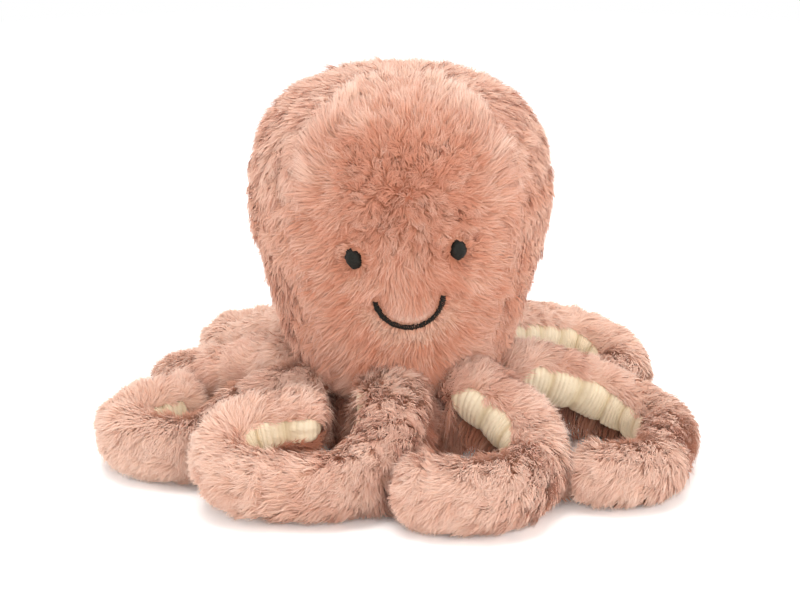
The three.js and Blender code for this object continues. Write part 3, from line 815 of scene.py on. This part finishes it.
class Arm:
    """One arm's sizes and its route, from its row of the plans. Only the front one shows an open tip."""

    def __init__(self, place):
        self.place = place
        self.open_tip = place == "front"
        self.shown_from, self.root_tone, self.tone = arm_looks[place]
        azimuth, aim, self.root_height, self.fall, self.tip_lift = arm_plans[place][:5]
        self.root_half_width, self.half_width, self.half_height = arm_plans[place][5:8]
        self.route = arm_plans[place][8:]
        self.azimuth = math.radians(azimuth)
        self.heading = self.azimuth - math.pi / 2 + math.radians(aim)
        self.length = sum(run + bend * math.radians(abs(turn)) for run, bend, turn in self.route)

    def middle(self, distance):
        """The middle line: runs and bends in plan, while it falls to the table and may lift at the tip."""
        distance = np.asarray(distance, float)
        left = np.maximum(distance, 0)
        heading, x, y = np.zeros_like(left), np.zeros_like(left), np.zeros_like(left)
        for run, bend, turn in self.route:
            straight = np.minimum(left, run)
            x, y = x + straight * np.cos(heading), y + straight * np.sin(heading)
            left = left - straight
            if not turn:
                continue
            bend, whole = math.copysign(bend, turn), math.radians(abs(turn))
            angle = np.minimum(left / abs(bend), whole) * math.copysign(1, turn)
            x, y = x + np.sin(heading) * bend, y - np.cos(heading) * bend
            heading = heading - angle
            x, y = x - np.sin(heading) * bend, y + np.cos(heading) * bend
            left = np.maximum(0, left - np.abs(angle) * abs(bend))
        fallen = smoothed(distance, 0, self.fall)
        z = self.root_height + fallen * (self.half_height - self.root_height)
        z = z + self.tip_lift * smoothed(distance / self.length, tip_lift_from, 1)
        cos, sin = math.cos(self.heading), math.sin(self.heading)
        root = (arm_root_radius * math.sin(self.azimuth), -arm_root_radius * math.cos(self.azimuth))
        return np.stack([root[0] + x * cos - y * sin, root[1] + x * sin + y * cos, z], -1)

    def surface(self, distance, cap, angle, sink):
        """Points on the arm: angle 0 is the curl's inside, a quarter turn is its underside."""
        ahead = unit(self.middle(distance + 0.5) - self.middle(distance - 0.5))
        ahead[distance <= 0] = (math.cos(self.heading), math.sin(self.heading), 0)
        inside = unit(np.cross(ahead, (0, 0, 1)))
        down = np.cross(ahead, inside)
        share = smoothed(distance, 0, self.fall)
        width = self.root_half_width + share * (self.half_width - self.root_half_width)
        height = root_half_height + share * (self.half_height - root_half_height)
        height, width = height[:, None] - sink, width[:, None] - sink
        cap = cap[:, None]
        bulge = height * np.sin(cap) * np.where(cap > 0, tip_round_share, 1)
        middle = self.middle(distance)[:, None] + ahead[:, None] * bulge[..., None]
        toward_inside = (width * np.cos(cap) * np.cos(angle))[..., None] * inside[:, None]
        return middle + toward_inside + (height * np.cos(cap) * np.sin(angle))[..., None] * down[:, None]

    def opening(self, distance):
        """How far the cover stands open below and above the curl's inside, with a slit at both ends."""
        from_tip = (self.length - distance) / strip_end + 9 * self.open_tip
        from_ends = np.minimum(distance / root_slit, from_tip)
        share = smoothed(from_ends / 2, 0, 1)[:, None]
        narrower = self.open_tip * smoothed(distance, self.length - 30, self.length - 3)
        under, over = strip_below * (1 - 0.7 * narrower), strip_above * (1 - 0.3 * narrower)
        wide = np.stack([under, over], -1) - slit_half_angle
        slit = slit_half_angle * np.clip(distance / root_slit, 0.04, 1)[:, None]
        return (slit + share * wide).T[:, :, None]


def arm_fur(arm, seed):
    """The arm's fur cover, with the nap from root to tip and its edges leaning over the strip."""
    columns, row_pitch, upper_edge = 44, 1.4, 1
    main = np.linspace(0, arm.length, int(arm.length / row_pitch))
    caps = np.radians([25, 45, 62, 76, 86])
    distance = np.concatenate([np.zeros(5), main, np.full(5, arm.length)])
    cap = np.concatenate([-caps[::-1], np.zeros(len(main)), caps])
    below, above = arm.opening(distance)
    share = np.linspace(0, 1, columns)
    angle = below + share * (2 * math.pi - below - above)
    backing = arm.surface(distance, cap, angle, np.full_like(angle, arm_backing_depth))
    around, along, outward = across_of(backing)
    run = (distance + arm.half_height * np.sin(cap))[:, None] + 0 * angle
    side = np.sign(2 * share - 1) + 0 * angle
    edge = smoothed(np.abs(2 * share - 1), 0.86, 1.0) * (below / strip_below)
    hanging = edge * (side < 0)
    shown = smoothed(run, arm.shown_from - 6, arm.shown_from)

    # Where the arm bends, and how much of the pile there fans out over the bend's outside
    turning = np.gradient(along, axis=0)
    curl = np.clip(np.linalg.norm(turning, axis=-1) / 0.1, 0, 1) ** 2 * smoothed(arm.length + 2 - run, 0, 3)
    bend = np.clip(-np.sum(turning * outward, axis=-1) / 0.1, 0, 1)
    fan = curl * near(angle - math.radians(250), 1.25)

    # The cover's top and underside, the skirt of pile along the table, the tip, and the pile
    # that hangs from the raised part near the head
    top = np.clip(outward[..., 2], 0, 1)
    under = np.clip(-outward[..., 2] - 0.8, 0, 0.2) * 5
    skirt = near(angle - math.radians(140), 0.5) * smoothed(run, 8, 30)
    tip = smoothed(run, arm.length - 4, arm.length + 8)
    lowest = backing[..., 2].min(axis=1, keepdims=True)
    raised = smoothed(lowest, 3, 5) * (1 - smoothed(run, 40, 55))
    droop = raised * smoothed(-outward[..., 2], 0.2, 0.7)
    upright = (1 - smoothed(run, 18, 42)) * (1 - edge) * (1 if arm.place == "front" else 0.3)
    shaded = arm.open_tip * smoothed(run, arm.length - 34, arm.length - 20) * (angle < math.radians(100))

    drawn = side * (0.06 + 0.7 * edge) * (1 - skirt) * (1 - curl * shown * (side == upper_edge))
    drawn = drawn - 0.35 * skirt - 1.5 * fan
    nap = along * (1 - 0.3 * skirt - 0.4 * fan)[..., None] + around * drawn[..., None]
    lean = 1.15 - 0.12 * top - 0.15 * tip + 0.1 * edge - 0.15 * skirt
    lean = lean - 0.2 * bend - 0.8 * droop - 0.22 * upright
    length = 5.4 - 2.2 * edge * shown - 1.0 * tip - 1.4 * under + 3.6 * hanging * shown
    length = length + 5.5 * droop - 1.2 * upright - 0.8 * skirt * (1 - droop) - 1.5 * shaded
    loose = 0.2 + 0.2 * bend + 0.1 * upright
    tone = arm.root_tone + (arm.tone - arm.root_tone) * smoothed(run, 15, 40)
    # Painted light and shade: paler on top, darker on the underside and on the pile that hangs under the
    # raised part.
    tone = tone + 0.14 * top + 0.1 * edge - 0.1 * under - 0.4 * droop
    # Painted light on the crests of the bends, and painted shade under the strip near the open tip.
    tone = tone + 0.3 * fan + 0.1 * curl - 0.6 * shaded
    keep = (0.03 + smoothed(run, -5, -3)) * (1 + 0.8 * upright + 0.5 * bend) * (1 - 0.6 * under)
    name, body, node = arm.place + "_arm_fur", "arm_" + arm.place, "arm_" + arm.place + "_cover"
    furred(name, backing, unit(nap), lean, length, tone, keep, arm_strands, body, node, seed, loose=loose)


def ribbed_cotton():
    """Unbleached ribbed cotton jersey: cream and matt, with a fine knit, and painted shade that makes it
    greyer in its folds.

    Its ribs are in the mesh. The loops of the knit are in the bump, 0.7 mm apart, which is
    a little coarser than real ones so that they show.
    """
    material, nodes = new_material("cream ribbed cotton jersey")
    place = add(nodes, "ShaderNodeTexCoord").outputs["Object"]
    fold_shade = add(nodes, "ShaderNodeAttribute", {"attribute_name": "along"}).outputs["Fac"]
    # Darker in the folds and paler on the crests: painted shade and painted light.
    colour = add(nodes, "ShaderNodeMix", {"data_type": "RGBA"}, Factor=fold_shade)
    colour.inputs[6].default_value = linear("#dcc69d")
    colour.inputs[7].default_value = linear("#f9e8ca")
    knit = add(nodes, "ShaderNodeTexVoronoi", {"Scale": 1400.0}, Vector=place)
    relief = {"Strength": 0.35, "Distance": 0.0003}
    stitches = add(nodes, "ShaderNodeBump", relief, Height=knit.outputs["Distance"])
    settings = {"Roughness": 0.9, "Specular IOR Level": 0.2, "Sheen Weight": 0.2}
    cloth = add(nodes, "ShaderNodeBsdfPrincipled", settings)
    nodes.links.new(colour.outputs[2], cloth.inputs["Base Color"])
    nodes.links.new(stitches.outputs[0], cloth.inputs["Normal"])
    add(nodes, "ShaderNodeOutputMaterial", Surface=cloth.outputs[0])
    return material


cream_rib = ribbed_cotton()
rib_pitch, gather_pitch, rib_height, gather_height = 1.5, 9.5, 0.36, 1.2
strip_face_depth, strip_back_depth = 2.4, 3.3


def closed_shell(outer, inner):
    """A thin closed sheet between two grids of points."""
    rows, columns = outer.shape[:2]
    count = rows * columns
    front = grid_triangles(rows, columns)
    back = front[:, ::-1] + count
    ring = np.concatenate([
        np.arange(columns),
        np.arange(1, rows) * columns + columns - 1,
        (rows - 1) * columns + np.arange(columns - 2, -1, -1),
        np.arange(rows - 2, 0, -1) * columns,
    ])
    follow = np.roll(ring, -1)
    one = np.stack([follow, ring, ring + count], -1)
    other = np.stack([follow, ring + count, follow + count], -1)
    points = np.concatenate([outer.reshape(-1, 3), inner.reshape(-1, 3)])
    return points, np.concatenate([front, back, one, other])


def gathered_strip(arm, seed):
    """The strip inside the curl: ribs across it, pulled into deeper folds by the seams at its edges."""
    columns, row_pitch, hidden_edge = 25, 0.2, 0.07
    distance = np.arange(0.4 * root_slit, arm.length - strip_end, row_pitch)
    cap = np.zeros(len(distance))
    if arm.open_tip:
        round_tip = np.radians(np.arange(4, 85, 4))
        to_tip = np.linspace(distance[-1] + row_pitch, arm.length, 6)
        distance = np.concatenate([distance, to_tip, np.full(len(round_tip), arm.length)])
        cap = np.concatenate([cap, np.zeros(len(to_tip)), round_tip])
    below, above = arm.opening(distance)
    share = np.linspace(0, 1, columns)
    angle = -(above + hidden_edge) + share * (above + below + 2 * hidden_edge)

    # The folds wander a little along the arm, and the cloth puckers between them
    place = np.stack([distance, np.full_like(distance, seed * 31.7), np.zeros_like(distance)], -1)
    drift = 1.1 * wander(place, 9.0, 51)
    travel = distance + arm.half_height * tip_round_share * np.sin(cap) + drift
    rib = np.abs(np.sin(math.pi * (travel + 0.5 * wander(place, 2.5, 53)) / rib_pitch)) ** 0.7
    pull = np.abs(np.sin(math.pi * (travel + 1.4 * drift) / gather_pitch)) ** 0.4
    spot = np.stack([distance[:, None] + 0 * angle, 12 * share + 0 * angle, 0 * angle + seed], -1)
    pucker = wander(spot, 2.2, 52)
    crest = (rib_height * rib * (0.5 + 0.5 * pull) + gather_height * pull)[:, None]
    tucked = np.abs(2 * share - 1) ** 6
    sink = strip_face_depth - crest * (1 - 0.4 * tucked) + 0.26 * pucker + 0.4 * tucked
    outer = arm.surface(distance, cap, angle, sink)
    inner = arm.surface(distance, cap, angle, np.full_like(sink, strip_back_depth))
    points, triangles = closed_shell(outer, inner)
    points[:, 2] = np.maximum(points[:, 2], table_clearance)
    # Painted light and shade: lighter on the crests, darker in the folds and where the strip tucks under the
    # fur.
    fold_shade = np.concatenate([np.clip(crest / 1.5 - 0.3 * tucked, 0, 1).ravel(), np.zeros(sink.size)])
    piece = made(arm.place + "_arm_strip", points, triangles, cream_rib, "arm_" + arm.place, {"along": fold_shade})
    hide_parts("arm_" + arm.place + "_strip")


all_arms = [Arm(place) for place in arm_plans]
for number, arm in enumerate(all_arms):
    arm_fur(arm, 10 + number)
    gathered_strip(arm, number)


# The fillings: polyester fibre in the head and the arms, and a cloth pouch of beans low in the
# body, which weighs the toy down so that it sits. None of it shows on the finished toy.

fibre_depth, arm_fibre_depth, socket_radius = 5.2, 4.4, 11.2


def fibre_filling():
    """Polyester fibre filling: white, matt and cloudy, in soft clumps of about 5 mm."""
    material, nodes = new_material("polyester fibre filling")
    place = add(nodes, "ShaderNodeTexCoord").outputs["Object"]
    clumps = add(nodes, "ShaderNodeTexNoise", {"Scale": 220.0, "Detail": 6.0, "Roughness": 0.7}, Vector=place)
    colour = add(nodes, "ShaderNodeMix", {"data_type": "RGBA"}, Factor=clumps.outputs["Fac"])
    colour.inputs[6].default_value = linear("#e2dfd8")
    colour.inputs[7].default_value = linear("#fbfaf7")
    fluff = add(nodes, "ShaderNodeBump", {"Strength": 0.6, "Distance": 0.001}, Height=clumps.outputs["Fac"])
    settings = {"Roughness": 1.0, "Specular IOR Level": 0.1, "Sheen Weight": 0.3}
    fibre = add(nodes, "ShaderNodeBsdfPrincipled", settings)
    nodes.links.new(colour.outputs[2], fibre.inputs["Base Color"])
    nodes.links.new(fluff.outputs[0], fibre.inputs["Normal"])
    add(nodes, "ShaderNodeOutputMaterial", Surface=fibre.outputs[0])
    return material


def woven_cotton():
    """Plain-woven cotton sheeting: off-white and matt, with warp and weft threads 0.5 mm apart."""
    material, nodes = new_material("plain-woven cotton")
    place = add(nodes, "ShaderNodeTexCoord").outputs["Object"]
    settings = {"wave_type": "BANDS", "Scale": 640.0, "Distortion": 0.6}
    warp = add(nodes, "ShaderNodeTexWave", {**settings, "bands_direction": "X"}, Vector=place)
    weft = add(nodes, "ShaderNodeTexWave", {**settings, "bands_direction": "Z"}, Vector=place)
    weave = add(nodes, "ShaderNodeMath", {"operation": "MULTIPLY"})
    nodes.links.new(warp.outputs["Fac"], weave.inputs[0])
    nodes.links.new(weft.outputs["Fac"], weave.inputs[1])
    colour = add(nodes, "ShaderNodeMix", {"data_type": "RGBA"}, Factor=weave.outputs[0])
    colour.inputs[6].default_value = linear("#d9cfbb")
    colour.inputs[7].default_value = linear("#f1ebdd")
    threads = add(nodes, "ShaderNodeBump", {"Strength": 0.4, "Distance": 0.0002}, Height=weave.outputs[0])
    cloth = add(nodes, "ShaderNodeBsdfPrincipled", {"Roughness": 0.85, "Specular IOR Level": 0.2})
    nodes.links.new(colour.outputs[2], cloth.inputs["Base Color"])
    nodes.links.new(threads.outputs[0], cloth.inputs["Normal"])
    add(nodes, "ShaderNodeOutputMaterial", Surface=cloth.outputs[0])
    return material


def revolved(rings):
    """A closed surface from rings of points round the head's axis or an arm's middle."""
    rows, columns = rings.shape[:2]
    ring = np.arange(columns)
    faces = []
    for row in range(rows - 1):
        a, b = row * columns + ring, row * columns + (ring + 1) % columns
        faces += [np.stack([a, b, b + columns], -1), np.stack([a, b + columns, a + columns], -1)]
    last = (rows - 1) * columns + ring
    ends = [np.stack([np.full(columns, rows * columns), np.roll(ring, -1), ring], -1)]
    ends += [np.stack([np.full(columns, rows * columns + 1), last, np.roll(last, -1)], -1)]
    middles = [rings[0].mean(0), rings[-1].mean(0)]
    return np.concatenate([rings.reshape(-1, 3), middles]), np.concatenate(faces + ends)


polyester_fill = fibre_filling()


def filled(name, rings, body, node, material):
    """A stuffed piece, closed round its rings of points."""
    piece = made(name, *revolved(rings), material, body)
    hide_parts(node)


def head_filling():
    """The head's fibre, with hollows where the arms' roots turn."""
    azimuth, along = np.meshgrid(np.linspace(-math.pi, math.pi, 73)[:-1], np.linspace(0.05, 0.96, 50))
    fluffed = head_point(azimuth, along, fibre_depth)
    fluffed = head_point(azimuth, along, fibre_depth + 0.35 * (1 + wander(fluffed, 6.0, 61)))
    for place, _, _ in arm_roots():
        reach = np.linalg.norm((fluffed - place) * (1, 1, 1.05), axis=-1)
        pushed = np.maximum(0, socket_radius - reach)[..., None]
        fluffed = fluffed + unit(-fluffed * (1, 1, 0)) * pushed * 1.6
    filled("head_filling", fluffed, "head", "head_stuffing", polyester_fill)


def arm_filling(arm):
    """An arm's fibre, inside both its cover and its strip."""
    caps = np.radians([30, 55, 76])
    main = np.linspace(0, arm.length, int(arm.length / 2))
    distance = np.concatenate([np.zeros(3), main, np.full(3, arm.length)])
    cap = np.concatenate([-caps[::-1], np.zeros(len(main)), caps])
    angle = np.ones((len(distance), 1)) * np.linspace(0, 2 * math.pi, 21)[:-1]
    sink = np.full_like(angle, arm_fibre_depth)
    lumps = wander(arm.surface(distance, cap, angle, sink), 5.0, 62)
    rings = arm.surface(distance, cap, angle, sink + 0.3 * (1 + lumps))
    body, node = "arm_" + arm.place, "arm_" + arm.place + "_stuffing"
    filled(arm.place + "_arm_filling", rings, body, node, polyester_fill)


def bean_pouch():
    """The pouch: a slack round bag that shows the beans inside it, 4 mm apart, as bulges."""
    floor, room, reach, bean_spacing = 2.3, 16.3, 17.1, 4.0
    out_shares = (0.3, 0.6, 0.86, 0.97, 1, 0.93, 0.6, 0.3)
    up_shares = (0.0, 0.0, 0.14, 0.3, 0.45, 0.75, 0.97, 0.99)
    height, stations = np.linspace(0, 1, 25), np.linspace(0, 1, 8)
    out = (np.interp(height, stations, out_shares) * reach)[:, None]
    up = (floor + np.interp(height, stations, up_shares) * room)[:, None]
    ring = np.linspace(0, 2 * math.pi, 73)[:-1]
    bag = np.stack([out * np.cos(ring), out * np.sin(ring), up + 0 * ring], -1)
    beans, _ = tufts_of(bag.reshape(-1, 3), bean_spacing)
    from_bean = np.linalg.norm(bag.reshape(-1, 3) - beans, axis=1).reshape(bag.shape[:2])
    bag = bag - unit(bag * (1, 1, 0)) * (0.35 * np.clip(from_bean / 2, 0, 1))[..., None]
    filled("bean_pouch_cloth", bag, "head", "bean_pouch", woven_cotton())


head_filling()
for arm in all_arms:
    arm_filling(arm)
bean_pouch()


# The base: a round of the head's fur fabric, sewn to the gores' lower edge. Its pile is pressed
# flat under the toy, where it stands on the table, and longer up its wall between the arms.

base_sole, base_reach, base_top = 17.0, 20.6, 18.6
base_draw_in, base_lift, base_strands = 2.0, 0.5, 26000


def base():
    """The base's fur, on a round panel that turns up into a low wall."""
    out_stops = (0.5, 9, base_sole, 19.6, base_reach, base_reach)
    up_stops = (0, 0, 0, 1.0, 3.2, base_top)
    travel = np.concatenate([[0], np.cumsum(np.hypot(np.diff(out_stops), np.diff(up_stops)))])
    steps = np.linspace(0, travel[-1], 30)
    out = np.interp(steps, travel, out_stops)[:, None]
    up = np.interp(steps, travel, up_stops)[:, None]
    ring = np.linspace(-math.pi, math.pi, 73)
    wall, high = smoothed(up, 0.5, 6), smoothed(up, 7, 13)
    radius = out - base_draw_in * wall + 0 * ring
    height = up + base_lift * (1 - wall) + 0 * ring
    cloth = np.stack([radius * np.sin(ring), -radius * np.cos(ring), height], -1)
    east, north, _ = across_of(cloth)
    even = np.ones_like(radius)
    lean = (1.5 - 0.45 * wall - 0.25 * high) * even
    length = (3.0 + 1.4 * wall + 2.2 * high) * even
    nap = -north + 0.2 * east
    # The pile has the darkest tone of the fur: painted shade for where it stands under the toy and between
    # the arms.
    furred("base_fur", cloth, nap, lean, length, 0.15 * even, even, base_strands, "head", "base_panel", 30)


base()
